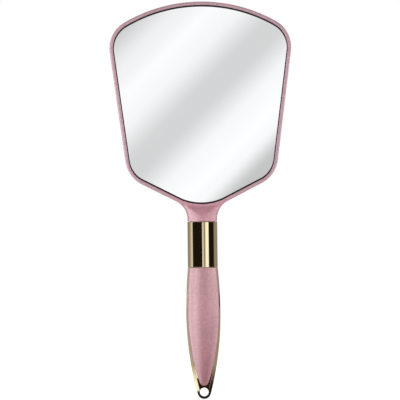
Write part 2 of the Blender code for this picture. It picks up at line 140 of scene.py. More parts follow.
# Neck, flaring from the collar into the chin
NECK_RADIUS = 11.2 * MM
NECK_BOTTOM = 68.9 * MM
NECK_EDGE = 0.4 * MM
FLARE_RADIUS = 15 * MM
FLARE_START = 70.7 * MM
FLARE_STEPS = 28
NECK_SINK = 2.5 * MM
FACET_TOP = 80.6 * MM
FACET_DEPTH = 6 * MM
FACET_SLOPE = 0.8
FACET_SOFTNESS = 10
FACET_THINNEST = 0.01 * MM
NECK_SEGMENTS = 128

# Collar and spigots
COLLAR_BORE = 9.6 * MM
COLLAR_EDGE = 0.3 * MM
COLLAR_SEGMENTS = 256
SPIGOT_RADIUS = 9.3 * MM
SPIGOT_SEGMENTS = 128
ROD_RADIUS = 2.5 * MM

# Core outline, seen from the front: an arc up to the collar and one down to the loop
UPPER_RADIUS = 332 * MM
LOWER_RADIUS = 241.3 * MM
RAIL_TOP = 34.2 * MM
LOOP_RADIUS = 5.2 * MM
HOLE_RADIUS = 3.35 * MM
HOLE_ROUND = 0.25 * MM
CORE_HALF_DEPTH = 2.6 * MM
CORE_ROUND = 0.35 * MM
CORE_BEVEL = CORE_HALF_DEPTH - CORE_ROUND
CORE_BEVEL_SLOPE = math.radians(45)
CORE_OVER = 3 * MM
SPINE_RADIUS = 6 * MM
SPINE_BOTTOM = -6 * MM
WINDOW_HALF_WIDTH = 6.5 * MM
WINDOW_BOTTOM = -19 * MM
LOOP_STEPS = 32
LOWER_STEPS = 36
UPPER_STEPS = 18
RAIL_EDGE_STEPS = 6
BEVEL_END_STEPS = 5
HOLE_SEGMENTS = 96

# Grip panels
GRIP_BASE = 2.8 * MM
RAIL_WIDTH = 0.9 * MM
TONGUE_RADIUS = 163.4 * MM
TIP_RADIUS = 3.45 * MM
GRIP_END_DEPTH = 11.25 * MM
GRIP_TIP_DEPTH = 5.2 * MM
GRIP_WALL = 2.2 * MM
GRIP_POWER = 2.15
GRIP_TIP_POWER = 0.7
GRIP_TIP_FLAT = 0.02 * MM
GRIP_THINNEST = 0.12 * MM
GRIP_SHOULDER = 0.25 * MM
GRIP_TOP_GAP = 0.2 * MM
GRIP_SEGMENTS = 72
SHOULDER_STEPS = 6
GRIP_UPPER_STEPS = 24
GRIP_LOWER_STEPS = 40
GRIP_TIP_STEPS = 16
HOLLOW_SHARE = 0.75
HOLLOW_SEGMENTS = 24
HOLLOW_STEPS = 8
PEG_RADIUS = 2 * MM
PEG_ROOT = 7.9 * MM
PEG_PLACES = [(x * MM, z * MM) for x, z in ((7.6, 14), (-7.6, 14), (0, -34))]


# Building blocks


def spread(start, end, steps):
    """Evenly spaced values from start to end, both included."""
    return [start + (end - start) * i / steps for i in range(steps + 1)]


def quarter_turn(steps):
    return spread(0, math.pi / 2, steps)


def whole_turn(steps):
    return spread(0, 2 * math.pi, steps)[:-1]


def add_mesh(name, bm):
    bmesh.ops.recalc_face_normals(bm, faces=bm.faces)
    mesh = bpy.data.meshes.new(name)
    bm.to_mesh(mesh)
    bm.free()
    made = bpy.data.objects.new(name, mesh)
    bpy.context.scene.collection.objects.link(made)
    return made


def loft(name, rings, closed=False):
    """Skin through rings of equal length, capped at both ends unless the last meets the first."""
    bm = bmesh.new()
    rows = [[bm.verts.new(point) for point in ring] for ring in rings]
    pairs = list(zip(rows, rows[1:]))
    if closed:
        pairs.append((rows[-1], rows[0]))
    else:
        bm.faces.new(rows[0])
        bm.faces.new(rows[-1])
    for low, high in pairs:
        for i in range(len(low)):
            j = (i + 1) % len(low)
            bm.faces.new((low[i], low[j], high[j], high[i]))
    return add_mesh(name, bm)


def circle(radius, height, segments):
    return [(radius * math.cos(a), radius * math.sin(a), height) for a in whole_turn(segments)]


def turned(name, profile, segments, closed=False):
    """Solid of revolution about Z of a (radius, height) profile."""
    return loft(name, [circle(*point, segments) for point in profile], closed)


def cylinder(name, radius, start, end, segments=ROD_SEGMENTS):
    """Round bar between two points."""
    start = Vector(start)
    span = Vector(end) - start
    bar = turned(name, [(radius, 0), (radius, span.length)], segments)
    turn = span.to_track_quat("Z", "Y").to_matrix().to_4x4()
    bar.data.transform(Matrix.Translation(start) @ turn)
    return bar


def box(name, low, high):
    """Block between its lowest and its highest corner."""
    low = Vector(low)
    high = Vector(high)
    bm = bmesh.new()
    place = Matrix.Translation((low + high) / 2) @ Matrix.Diagonal((*(high - low), 1))
    bmesh.ops.create_cube(bm, size=1, matrix=place)
    return add_mesh(name, bm)


def combine(target, operation, *others):
    """Joins the others to target or cuts them from it, removes them and cleans the mesh."""
    for other in others:
        step = target.modifiers.new(other.name, "BOOLEAN")
        step.operation = operation
        step.object = other
        step.solver = "EXACT"
    graph = bpy.context.evaluated_depsgraph_get()
    target.data = bpy.data.meshes.new_from_object(target.evaluated_get(graph))
    target.modifiers.clear()
    bm = bmesh.new()
    bm.from_mesh(target.data)
    bmesh.ops.remove_doubles(bm, verts=bm.verts, dist=MERGE_DISTANCE)
    bmesh.ops.dissolve_degenerate(bm, edges=bm.edges, dist=MERGE_DISTANCE)
    bm.to_mesh(target.data)
    bm.free()
    for other in others:
        bpy.data.objects.remove(other)
    return target


def arc(centre, radius, start, end, steps):
    """(x, z) points from angle start to angle end, both included."""
    x, z = centre
    turns = spread(start, end, steps)
    return [(x + radius * math.cos(a), z + radius * math.sin(a)) for a in turns]


def mirrored(half):
    """Closed outline from its right half, which starts and ends on the middle line."""
    return half + [(-x, z) for x, z in reversed(half[1:-1])]


def both_sides(places):
    return places + [(-x, z) for x, z in places]


def finished(piece, finish, slot, *nodes, sharp=SHARP_ANGLE):
    """Gives a piece its material and shading, and stands it in for its CAD nodes."""
    piece.data.materials.clear()
    piece.data.materials.append(finish)
    piece.data.shade_smooth()
    piece.data.set_sharp_from_angle(angle=sharp)
    even = piece.modifiers.new("even_shading", "WEIGHTED_NORMAL")
    even.keep_sharp = True
    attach(piece, BODY)
    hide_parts(*nodes)
    return piece


# Head outline


def head_arcs():
    """(centre, radius, start angle, end angle) of the right half's arcs, top to chin."""
    side = Vector((math.cos(SIDE_TILT), -math.sin(SIDE_TILT)))
    chin = Vector((math.sin(CHIN_SLOPE), -math.cos(CHIN_SLOPE)))
    top_centre = Vector((0, HEAD[1][2] - TOP_RADIUS))
    chin_centre = Vector((0, CHIN_BOTTOM + CHIN_RADIUS))
    side_reach = side.dot(Vector((SIDE_HALF_WIDTH, SIDE_HEIGHT)))
    chin_reach = chin.dot(chin_centre) + CHIN_RADIUS

    # The jaw's circle touches the side line and the chin line.
    a = side_reach - JAW_RADIUS
    b = chin_reach - JAW_RADIUS
    across = side.x * chin.y - side.y * chin.x
    jaw_centre = Vector((a * chin.y - b * side.y, b * side.x - a * chin.x)) / across

    # The corner's circle touches the side line, and the top arc from inside.
    along = Vector((-side.y, side.x))
    foot = side * (side_reach - CORNER_RADIUS) - top_centre
    reach = TOP_RADIUS - CORNER_RADIUS
    slide = math.sqrt(reach**2 - foot.dot(foot) + foot.dot(along) ** 2) - foot.dot(along)
    from_top = foot + along * slide
    corner_centre = top_centre + from_top

    shoulder = math.atan2(from_top.y, from_top.x)
    flank = -SIDE_TILT
    cheek = CHIN_SLOPE - math.pi / 2
    return (
        (top_centre, TOP_RADIUS, math.pi / 2, shoulder),
        (corner_centre, CORNER_RADIUS, shoulder, flank),
        (jaw_centre, JAW_RADIUS, flank, cheek),
        (chin_centre, CHIN_RADIUS, cheek, -math.pi / 2),
    )


def keystone(inset, depth, groove=None):
    """The head's outline moved in by inset, as points at the given depth along Y.

    With groove it is moved in further, to that share of the half-width of the dark
    groove round the glass. The groove is wider at the head's two ends than at its sides,
    and lies further in at the chin.
    """
    half = []
    for (centre, radius, start, end), steps in zip(head_arcs(), ARC_STEPS):
        points = []
        for turn in spread(start, end, steps):
            reach = radius - inset
            if groove is not None:
                reach -= groove_edge(turn, groove)
            points.append((centre[0] + reach * math.cos(turn), centre[1] + reach * math.sin(turn)))
        # The corner's arc starts at the top arc's last point.
        half += points[1:] if radius == CORNER_RADIUS else points
    return [(x, depth, z) for x, z in mirrored(half)]


def groove_edge(turn, share):
    """Inset of the groove where the outline faces along turn, from -1 outside to 1 inside."""
    upright = math.sin(turn)
    rising = max(upright, 0)
    falling = max(-upright, 0)
    middle = GROOVE_INSET + GROOVE_TOP_SHIFT * rising
    middle += GROOVE_JAW_SHIFT * falling + GROOVE_CHIN_SHIFT * falling**GROOVE_CHIN_POWER
    width = GROOVE_WIDTH_SIDES + (GROOVE_WIDTH_ENDS - GROOVE_WIDTH_SIDES) * abs(upright)
    return middle + share * width / 2


def round_over(depth, direction, radius):
    """(inset, depth) profile from a flat face at depth round to the side, direction inwards."""
    return [
        (radius * (1 - math.sin(a)), depth + direction * radius * (1 - math.cos(a)))
        for a in quarter_turn(ROUND_STEPS)
    ]


def shaped_like_head(name, profile, closed=False):
    """Solid whose edge follows an (inset, depth) profile all the way round the head.

    A third value in a row places it across the groove.
    """
    return loft(name, [keystone(*row) for row in profile], closed)


# Head pieces


def neck_ring(half_width, height):
    """Round section of the neck, flattened front and back by its sloping facets."""
    limit = FACET_DEPTH + max(FACET_TOP - height, 0) * FACET_SLOPE
    ring = []
    for turn in whole_turn(NECK_SEGMENTS):
        depth = max(NECK_RADIUS * abs(math.sin(turn)), FACET_THINNEST)
        depth = (depth**-FACET_SOFTNESS + limit**-FACET_SOFTNESS) ** (-1 / FACET_SOFTNESS)
        ring.append((half_width * math.cos(turn), math.copysign(depth, math.sin(turn)), height))
    return ring


def neck():
    """Round neck that flares into the chin, with the spigot that the collar slides over."""
    flare = [
        (NECK_RADIUS + FLARE_RADIUS * (1 - math.cos(a)), FLARE_START + FLARE_RADIUS * math.sin(a))
        for a in spread(0, math.pi / 2 - CHIN_SLOPE, FLARE_STEPS)
    ]
    flare_width, flare_top = flare[-1]
    sections = [
        (NECK_RADIUS - NECK_EDGE, NECK_BOTTOM),
        (NECK_RADIUS, NECK_BOTTOM + NECK_EDGE),
        *flare,
        (flare_width - NECK_SINK, flare_top + NECK_SINK),
    ]
    made = loft("neck", [neck_ring(*section) for section in sections])
    base = (0, 0, HEAD[0][2])
    spigot = cylinder("neck_spigot", SPIGOT_RADIUS, base, (0, 0, NECK_BOTTOM + OVERRUN))
    return combine(made, "UNION", spigot)


def glass_pocket():
    """Recess in the front for the glass, its mouth rounded."""
    mouth = [
        (LIP_ROUND * (math.cos(a) - 1), RIM_FRONT + LIP_ROUND * (1 - math.sin(a)), -1)
        for a in quarter_turn(LIP_STEPS)
    ]
    mouth.append((-LIP_ROUND, 2 * RIM_FRONT, -1))
    return shaped_like_head("glass_pocket", [(0, WEB_FRONT, -1), *mouth])


def head_moulding():
    """Rim, web and neck in one moulding, with sockets behind for the cover's pins."""
    front = round_over(RIM_FRONT, 1, RIM_FRONT_ROUND)
    back = round_over(RIM_BACK, -1, RIM_BACK_ROUND)
    moulding = shaped_like_head("head_moulding", front + back[::-1])
    inset = COVER_INSET - GAP
    cover_pocket = shaped_like_head("cover_pocket", [(inset, WEB_BACK), (inset, 2 * RIM_BACK)])
    insert_bore = cylinder(
        "insert_bore",
        INSERT[1][0] + GAP,
        (0, 0, HEAD[0][2] - OVERRUN),
        (0, 0, INSERT[1][2] + GAP),
    )
    combine(moulding, "UNION", neck())
    combine(moulding, "DIFFERENCE", glass_pocket(), cover_pocket, insert_bore)
    for x, z in both_sides(PIN_PLACES):
        foot = (x, WEB_BACK - OVERRUN, z)
        rim = (x, WEB_BACK + SOCKET_DEPTH, z)
        bottom = (x, WEB_BACK + GAP, z)
        beyond = (x, WEB_BACK + SOCKET_DEPTH + OVERRUN, z)
        socket = cylinder("socket", SOCKET_RADIUS, foot, rim, PIN_SEGMENTS)
        hole = cylinder("hole", PIN_RADIUS + GAP, bottom, beyond, PIN_SEGMENTS)
        combine(moulding, "UNION", socket)
        combine(moulding, "DIFFERENCE", hole)
    finish = pearl_plastic("head_pink", NECK_PINK, RIM_PINK, HEAD_CHANGE)
    return finished(moulding, finish, "frame_plastic", "head_frame")


def cover_plate():
    """Shallow tray that closes the back of the head, with its locating pins."""
    edge = round_over(COVER[1][1], -1, COVER_ROUND)
    inner_face = COVER[1][1] - COVER_WALL
    foot = COVER[0][1]
    profile = [(COVER_INSET + inset, depth) for inset, depth in edge]
    profile += [
        (COVER_INSET, foot),
        (COVER_INSET + COVER_WALL, foot),
        (COVER_INSET + COVER_WALL, inner_face),
    ]
    plate = shaped_like_head("cover_plate", profile)
    for x, z in both_sides(PIN_PLACES):
        start = (x, WEB_BACK + 3 * GAP, z)
        end = (x, inner_face + COVER_WALL / 2, z)
        combine(plate, "UNION", cylinder("pin", PIN_RADIUS, start, end, PIN_SEGMENTS))
    finish = pearl_plastic("cover_pink", NECK_PINK, RIM_PINK, HEAD_CHANGE)
    return finished(plate, finish, "frame_plastic", "back_cover")


def glass_plate():
    """Two millimetres of glass with a fine polished edge."""
    profile = [
        (GLASS_CHAMFER, GLASS[0][1], 1),
        (0, GLASS[0][1] + GLASS_CHAMFER, 1),
        (0, GLASS[1][1], 1),
    ]
    plate = shaped_like_head("glass_plate", profile)
    return finished(
        plate, silvering(), "silvered_glass", "mirror_glass", sharp=GLASS_SHARP_ANGLE
    )


def gasket_ring():
    """Rubber ring round the glass, with a rounded crown."""
    front = GASKET[0][1]
    back = GASKET[1][1]
    crown = [
        (
            GASKET_CLEARANCE * math.cos(a),
            front + GASKET_CROWN * (1 - math.sin(a)),
            -math.cos(a),
        )
        for a in spread(0, math.pi, CROWN_STEPS)
    ]
    outer = (GASKET_CLEARANCE, back, -1)
    inner = (-GASKET_CLEARANCE, back, 1)
    ring = shaped_like_head("gasket_ring", [*crown, inner, outer], closed=True)
    return finished(ring, rubber(), "gasket_rubber", "glass_gasket")


# Collar and core


def collar_sleeve():
    """Polished plated tube with rolled ends."""
    low = COLLAR[0][2]
    high = COLLAR[1][2]
    middle = COLLAR[1][0] - COLLAR_EDGE
    outer = arc((middle, high - COLLAR_EDGE), COLLAR_EDGE, math.pi / 2, 0, ROUND_STEPS)
    outer += arc((middle, low + COLLAR_EDGE), COLLAR_EDGE, 0, -math.pi / 2, ROUND_STEPS)
    profile = outer + [(COLLAR_BORE, low), (COLLAR_BORE, high)]
    sleeve = turned("collar_sleeve", profile, COLLAR_SEGMENTS, closed=True)
    return finished(sleeve, gold("collar_plating"), "gold_plating", "gold_collar")


def belly():
    return CORE[1][0]


def loop_centre():
    """Height of the loop's centre, where its circle touches the lower arc from inside."""
    offset = LOWER_RADIUS - belly()
    return -math.sqrt((LOWER_RADIUS - LOOP_RADIUS) ** 2 - offset**2)


def core_ring(inset, depth):
    """Loop, lower arc and upper arc, moved in by inset and cut off level above the rails."""
    offset = LOWER_RADIUS - belly()
    touch = math.atan2(loop_centre(), offset)
    half = arc((0, loop_centre()), LOOP_RADIUS - inset, -math.pi / 2, touch, LOOP_STEPS)
    half += arc((-offset, 0), LOWER_RADIUS - inset, touch, 0, LOWER_STEPS)[1:]
    top = RAIL_TOP + CORE_OVER - inset
    rise = math.asin(top / (UPPER_RADIUS - inset))
    half += arc((belly() - UPPER_RADIUS, 0), UPPER_RADIUS - inset, 0, rise, UPPER_STEPS)[1:]
    return [(x, depth, z) for x, z in mirrored(half + [(0, top)])]


def core_profile(side):
    """Edge of the core from the middle of its side over a wide bevel to its face."""
    slope = CORE_BEVEL_SLOPE
    reach = CORE_ROUND * math.tan(slope / 2)
    crest = CORE_HALF_DEPTH
    edge = [
        (CORE_ROUND * (1 - math.sin(a)), CORE_ROUND * (math.cos(a) - 1))
        for a in spread(math.pi / 2, slope, RAIL_EDGE_STEPS)
    ]
    drop = (CORE_BEVEL - edge[-1][0]) * math.tan(slope) - edge[-1][1]
    edge = [(inset, crest - drop + depth) for inset, depth in edge]
    crown = [
        (
            CORE_BEVEL + reach - CORE_ROUND * math.sin(a),
            crest - CORE_ROUND * (1 - math.cos(a)),
        )
        for a in spread(slope, 0, BEVEL_END_STEPS)
    ]
    return [(inset, side * depth) for inset, depth in edge + crown]


def hanging_hole():
    """Cutter that leaves the hole's edges rounded."""
    deep = CORE_HALF_DEPTH
    flare = [
        (HOLE_RADIUS + HOLE_ROUND * (1 - math.cos(a)), deep - HOLE_ROUND * (1 - math.sin(a)))
        for a in quarter_turn(ROUND_STEPS)
    ]
    widest = flare[-1][0]
    profile = flare + [(widest, deep + OVERRUN)]
    profile = [(radius, -height) for radius, height in reversed(profile)] + profile
    cutter = turned("hanging_hole", profile, HOLE_SEGMENTS)
    upright = Matrix.Rotation(math.pi / 2, 4, "X")
    cutter.data.transform(Matrix.Translation((0, 0, loop_centre())) @ upright)
    return cutter


def gold_core():
    """Side rails, hanging loop, spine for the tie rod and collar spigot."""
    profile = core_profile(-1)[:0:-1] + core_profile(1)
    core = loft("gold_core", [core_ring(inset, depth) for inset, depth in profile])
    wide = 2 * belly()
    spigot_top = CORE[1][2]
    foot = COLLAR[0][2]
    spine = cylinder(
        "spine", SPINE_RADIUS, (0, 0, SPINE_BOTTOM - OVERRUN), (0, 0, foot + OVERRUN)
    )
    spigot = cylinder(
        "core_spigot", SPIGOT_RADIUS, (0, 0, foot), (0, 0, spigot_top), SPIGOT_SEGMENTS
    )
    rod_bore = cylinder(
        "rod_bore", ROD_RADIUS + GAP, (0, 0, 2 * SPINE_BOTTOM), (0, 0, spigot_top + OVERRUN)
    )
    window = box(
        "window",
        (-WINDOW_HALF_WIDTH, -wide, WINDOW_BOTTOM),
        (WINDOW_HALF_WIDTH, wide, SPINE_BOTTOM),
    )
    trim = box("trim", (-wide, -wide, RAIL_TOP), (wide, wide, 2 * RAIL_TOP))
    combine(core, "DIFFERENCE", trim)
    combine(core, "UNION", spine, spigot)
    combine(core, "DIFFERENCE", rod_bore, window, hanging_hole())
    for x, z in PEG_PLACES:
        ends = ((x, -wide, z), (x, wide, z))
        combine(
            core, "DIFFERENCE", cylinder("peg_hole", PEG_RADIUS + GAP, *ends, PIN_SEGMENTS)
        )
    return finished(core, gold("core_plating"), "gold_plating", "handle_core")


# Grip panels


def grip_belly():
    return GRIP[1][0]


def tip_centre():
    offset = TONGUE_RADIUS - grip_belly()
    return -math.sqrt((TONGUE_RADIUS - TIP_RADIUS) ** 2 - offset**2)


def grip_half_width(height):
    """Half-width of a grip panel: a rail's width inside the core, and a tongue lower down."""
    if height >= 0:
        fall = UPPER_RADIUS - math.sqrt(UPPER_RADIUS**2 - height**2)
        return belly() - RAIL_WIDTH - fall
    centre = tip_centre()
    offset = TONGUE_RADIUS - grip_belly()
    touch = centre * TONGUE_RADIUS / (TONGUE_RADIUS - TIP_RADIUS)
    if height > touch:
        return math.sqrt(TONGUE_RADIUS**2 - height**2) - offset
    return math.sqrt(max(TIP_RADIUS**2 - (height - centre) ** 2, 0))


def grip_depth(height):
    """Distance of a grip panel's outer surface from the handle's axis, on its middle line."""
    deepest = -GRIP[0][1]
    if height >= 0:
        return deepest - (deepest - GRIP_END_DEPTH) * (height / GRIP[1][2]) ** 2
    centre = tip_centre()
    depth = deepest - (deepest - GRIP_TIP_DEPTH) * (height / centre) ** 2
    if height >= centre:
        return depth
    across = math.sqrt(max(1 - ((height - centre) / TIP_RADIUS) ** 2, 0))
    return GRIP_BASE + (depth - GRIP_BASE) * across**GRIP_TIP_POWER


def grip_ring(height, base, shrink, steps=GRIP_SEGMENTS):
    """D-shaped section: flat on the core's side at depth base, domed outside."""
    half_width = max(grip_half_width(height) - shrink, GRIP_THINNEST)
    rise = max(grip_depth(height) - shrink - base, GRIP_THINNEST)
    ring = []
    for i in range(steps + 1):
        turn = math.pi * i / steps
        across = math.copysign(abs(math.cos(turn)) ** (2 / GRIP_POWER), math.cos(turn))
        up = math.sin(turn) ** (2 / GRIP_POWER) if 0 < i < steps else 0
        ring.append((half_width * across, -base - rise * up, height))
    return ring


def turned_round(points):
    return [(-x, -y, z) for x, y, z in points]


def grip_shell(name, node, behind):
    """Domed shell with a rounded shoulder and three pegs that go into the core."""
    tip = tip_centre()
    top = COLLAR[0][2] - GRIP_TOP_GAP
    shoulder = [
        (top - GRIP_SHOULDER * (1 - math.cos(a)), GRIP_SHOULDER * (1 - math.sin(a)))
        for a in quarter_turn(SHOULDER_STEPS)
    ]
    heights = spread(top - GRIP_SHOULDER, 0, GRIP_UPPER_STEPS)[1:]
    heights += spread(0, tip, GRIP_LOWER_STEPS)[1:]
    heights += [tip - TIP_RADIUS * math.sin(a) for a in quarter_turn(GRIP_TIP_STEPS)[1:-1]]
    heights.append(tip - TIP_RADIUS + GRIP_TIP_FLAT)
    outer = [grip_ring(height, GRIP_BASE, shrink) for height, shrink in shoulder]
    outer += [grip_ring(height, GRIP_BASE, 0) for height in heights]

    mouth = GRIP_BASE - OVERRUN
    inner = [
        grip_ring(height, mouth, GRIP_WALL, HOLLOW_SEGMENTS)
        for height in spread(top - GRIP_WALL, tip * HOLLOW_SHARE, HOLLOW_STEPS)
    ]

    pegs = [((x, -GAP, z), (x, -PEG_ROOT, z)) for x, z in PEG_PLACES]
    if behind:
        outer = [turned_round(ring) for ring in outer]
        inner = [turned_round(ring) for ring in inner]
        pegs = [turned_round(peg) for peg in pegs]
    shell = loft(name, outer)
    spine_room = cylinder("spine_room", SPINE_RADIUS + GAP, (0, 0, 0), (0, 0, top + OVERRUN))
    combine(shell, "DIFFERENCE", loft("hollow", inner), spine_room)
    for start, end in pegs:
        combine(shell, "UNION", cylinder("peg", PEG_RADIUS, start, end, PIN_SEGMENTS))
    # The grips' pink darkens towards the tip as painted shade.
    finish = pearl_plastic(name + "_pink", SHADED_TIP_PINK, GRIP_PINK, GRIP_SHADE_CHANGE)
    return finished(shell, finish, "grip_plastic", node)


# Materials

NECK_PINK = (0.475, 0.222, 0.270)
RIM_PINK = (0.425, 0.25, 0.29)
HEAD_CHANGE = (80 * MM, 92 * MM)
# The grips' darker tip pink is painted shade on their lower end; the grip pink takes over again
# higher up.
SHADED_TIP_PINK = (0.345, 0.140, 0.165)
GRIP_PINK = (0.415, 0.205, 0.228)
GRIP_SHADE_CHANGE = (-50 * MM, 2 * MM)
GOLD = (0.93, 0.82, 0.53)
SILVER = (0.955, 0.96, 0.97)
RUBBER = (0.012, 0.010, 0.010)
FOAM_SHADE = (0.58, 0.58, 0.55)
FOAM_LIGHT = (0.78, 0.78, 0.74)
BRASS = (0.72, 0.55, 0.25)
STEEL = (0.55, 0.56, 0.58)

# Noise scales, in cells per metre
PEARL_GRAIN = 1300
PEARL_FLECK = 520
PEARL_CLOUD = 70
PEARL_TEXTURE = 2600
PLATING_CLOUD = 45
PLATING_POLISH = 60
SILVER_CLOUD = 25
SILVER_POLISH = 90
RUBBER_GRAIN = 2200
FOAM_CELLS = 1800
LATHE_RINGS = 900

# How much each noise counts in the pearl speckle, and how far the speckle shades the colour
GRAIN_SHARE = 0.45
FLECK_SHARE = 0.35
CLOUD_SHARE = 0.2
SPECKLE_MIDDLE = 0.5
SPECKLE_SPREAD = 0.14
SPECKLE_CONTRAST = 0.2

# Roughness, as (noise value, roughness) stops
PEARL_ROUGHNESS = ((0.3, 0.36), (0.7, 0.48))
GOLD_ROUGHNESS = ((0.35, 0.018), (0.7, 0.03))
SILVER_ROUGHNESS = ((0.4, 0.008), (0.75, 0.02))
RUBBER_ROUGHNESS = ((0.3, 0.32), (0.7, 0.45))
FOAM_ROUGHNESS = ((0.0, 0.95), (1.0, 0.8))
LATHE_ROUGHNESS = ((0.0, 0.28), (1.0, 0.4))


def add(tree, kind, inputs=None, **settings):
    """Node with its settings, each input a value or the socket that it is linked to."""
    made = tree.nodes.new("ShaderNode" + kind)
    for key, value in settings.items():
        setattr(made, key, value)
    for key, value in (inputs or {}).items():
        if isinstance(value, bpy.types.NodeSocket):
            tree.links.new(value, made.inputs[key])
        else:
            made.inputs[key].default_value = value
    return made


def maths(tree, operation, *values):
    return add(tree, "Math", dict(enumerate(values)), operation=operation).outputs[0]


def ramp(tree, factor, stops, interpolation="LINEAR"):
    """Colour ramp through (position, colour) stops."""
    made = add(tree, "ValToRGB", {"Fac": factor})
    made.color_ramp.interpolation = interpolation
    elements = made.color_ramp.elements
    elements.remove(elements[1])
    for i, (place, colour) in enumerate(stops):
        element = elements.new(place) if i else elements[0]
        element.position = place
        element.color = (*colour, 1)
    return made.outputs["Color"]


def mixed(tree, factor, low, high):
    made = add(tree, "Mix", {"Factor": factor}, data_type="RGBA")
    for socket, value in ((made.inputs[6], low), (made.inputs[7], high)):
        if isinstance(value, bpy.types.NodeSocket):
            tree.links.new(value, socket)
        else:
            socket.default_value = (*value, 1)
    return made.outputs[2]


def between(tree, value, start, end):
    """0 up to start, 1 from end on."""
    return add(tree, "MapRange", {"Value": value, "From Min": start, "From Max": end}).outputs[0]


def grey(value):
    return (value, value, value)


def scaled(colour, factor):
    return tuple(channel * factor for channel in colour)


def noise(tree, scale, detail=2.0, roughness=0.5):
    """Noise from 0 to 1 in the piece's own space."""
    place = add(tree, "TexCoord").outputs["Object"]
    settings = {"Vector": place, "Scale": scale, "Detail": detail, "Roughness": roughness}
    return add(tree, "TexNoise", settings).outputs["Fac"]


def new_material(name, **sockets):
    """Principled material with plain values on its sockets, and its node tree."""
    made = bpy.data.materials.new(name)
    made.use_nodes = True
    shader = made.node_tree.nodes["Principled BSDF"]
    for key, value in sockets.items():
        shader.inputs[key.replace("_", " ")].default_value = value
    return made, made.node_tree


def feed(tree, socket, source):
    """Links a node's output to a socket of the tree's Principled shader."""
    tree.links.new(source, tree.nodes["Principled BSDF"].inputs[socket])


def paint(tree, factor, *stops):
    feed(tree, "Base Color", ramp(tree, factor, stops))


def roughen(tree, factor, stops):
    feed(tree, "Roughness", ramp(tree, factor, [(place, grey(value)) for place, value in stops]))


def bump(tree, height, strength, distance):
    made = add(tree, "Bump", {"Height": height, "Strength": strength, "Distance": distance})
    feed(tree, "Normal", made.outputs["Normal"])


def pearl_plastic(name, low_colour, high_colour, change):
    """Satin plastic with fine pearl grain, its colour changing between two heights; on the grips
    the darker low colour is painted shade.
    """
    made, tree = new_material(name, Specular_IOR_Level=0.35, Coat_Weight=0.5, Coat_Roughness=0.22)
    grain = noise(tree, PEARL_GRAIN, detail=3.0, roughness=0.6)
    speckle = maths(tree, "MULTIPLY", grain, GRAIN_SHARE)
    speckle = maths(tree, "MULTIPLY_ADD", noise(tree, PEARL_CLOUD), CLOUD_SHARE, speckle)
    fleck = noise(tree, PEARL_FLECK, roughness=0.6)
    speckle = maths(tree, "MULTIPLY_ADD", fleck, FLECK_SHARE, speckle)
    shades = [
        ramp(
            tree,
            speckle,
            (
                (SPECKLE_MIDDLE - SPECKLE_SPREAD, scaled(pink, 1 - SPECKLE_CONTRAST)),
                (SPECKLE_MIDDLE, pink),
                (SPECKLE_MIDDLE + SPECKLE_SPREAD, scaled(pink, 1 + SPECKLE_CONTRAST)),
            ),
        )
        for pink in (low_colour, high_colour)
    ]
    place = add(tree, "TexCoord").outputs["Object"]
    height = add(tree, "SeparateXYZ", {"Vector": place}).outputs["Z"]
    feed(tree, "Base Color", mixed(tree, between(tree, height, *change), *shades))
    roughen(tree, grain, PEARL_ROUGHNESS)
    bump(tree, noise(tree, PEARL_TEXTURE), strength=0.12, distance=0.05 * MM)
    return made


def gold(name):
    """Mirror-bright plating with a barely uneven tint."""
    made, tree = new_material(name, Metallic=1.0)
    paint(tree, noise(tree, PLATING_CLOUD), (0.3, scaled(GOLD, 0.97)), (0.7, GOLD))
    roughen(tree, noise(tree, PLATING_POLISH), GOLD_ROUGHNESS)
    return made


def silvering():
    """Silvered glass with the faintest unevenness in its polish."""
    made, tree = new_material("silvered_glass", Metallic=1.0, Coat_Weight=0.2)
    paint(tree, noise(tree, SILVER_CLOUD), (0.3, scaled(SILVER, 0.99)), (0.7, SILVER))
    roughen(tree, noise(tree, SILVER_POLISH, detail=3.0), SILVER_ROUGHNESS)
    return made


def rubber():
    """Near-black rubber, finely grained."""
    made, tree = new_material("gasket_rubber", Specular_IOR_Level=0.2)
    grain = noise(tree, RUBBER_GRAIN, detail=3.0)
    paint(tree, grain, (0.3, RUBBER), (0.7, scaled(RUBBER, 2)))
    roughen(tree, grain, RUBBER_ROUGHNESS)
    bump(tree, grain, strength=0.1, distance=0.03 * MM)
    return made


def foam():
    """White foam with small closed cells."""
    made, tree = new_material("tape_foam", IOR=1.4)
    cells = add(tree, "TexVoronoi", {"Scale": FOAM_CELLS}).outputs["Distance"]
    paint(tree, cells, (0.0, FOAM_SHADE), (0.6, FOAM_LIGHT))
    roughen(tree, cells, FOAM_ROUGHNESS)
    bump(tree, cells, strength=0.4, distance=0.1 * MM)
    return made


def turned_metal(name, metal):
    """Machined metal with fine rings along its axis."""
    made, tree = new_material(name, Metallic=1.0)
    settings = {"Scale": LATHE_RINGS, "Distortion": 0.6}
    rings = add(tree, "TexWave", settings, bands_direction="Z").outputs["Fac"]
    paint(tree, rings, (0.0, scaled(metal, 0.85)), (1.0, metal))
    roughen(tree, rings, LATHE_ROUGHNESS)
    bump(tree, rings, strength=0.15, distance=0.03 * MM)
    return made


def dress(node, finish):
    """Gives a CAD node that stays its detailed material."""
    for slot in frame["nodes"][node].material_slots:
        slot.material = finish


def dress_hidden_nodes():
    """Foam tape behind the glass, and the fastening inside the handle."""
    soft = foam()
    for node in ("tape_upper", "tape_middle", "tape_lower"):
        dress(node, soft)
    dress("neck_insert", turned_metal("machined_brass", BRASS))
    steel = turned_metal("machined_steel", STEEL)
    for node in ("tie_rod", "rod_washer", "rod_nut"):
        dress(node, steel)


# Studio

CAMERA_LENS = 200
SENSOR_WIDTH = 36
VIEW_WIDTH = 302 * MM
VIEW_CENTRE = (-1.55 * MM, 84.95 * MM)
CAMERA_ROLL = math.radians(0.66)
WHITE = grey(1.0)
AMBIENT = 0.62
FLOOR_RADIUS = 2.2
FLOOR_DROP = 0.1 * MM
FLOOR_GREY = grey(0.8)
FLOOR_LIFT = 0.55

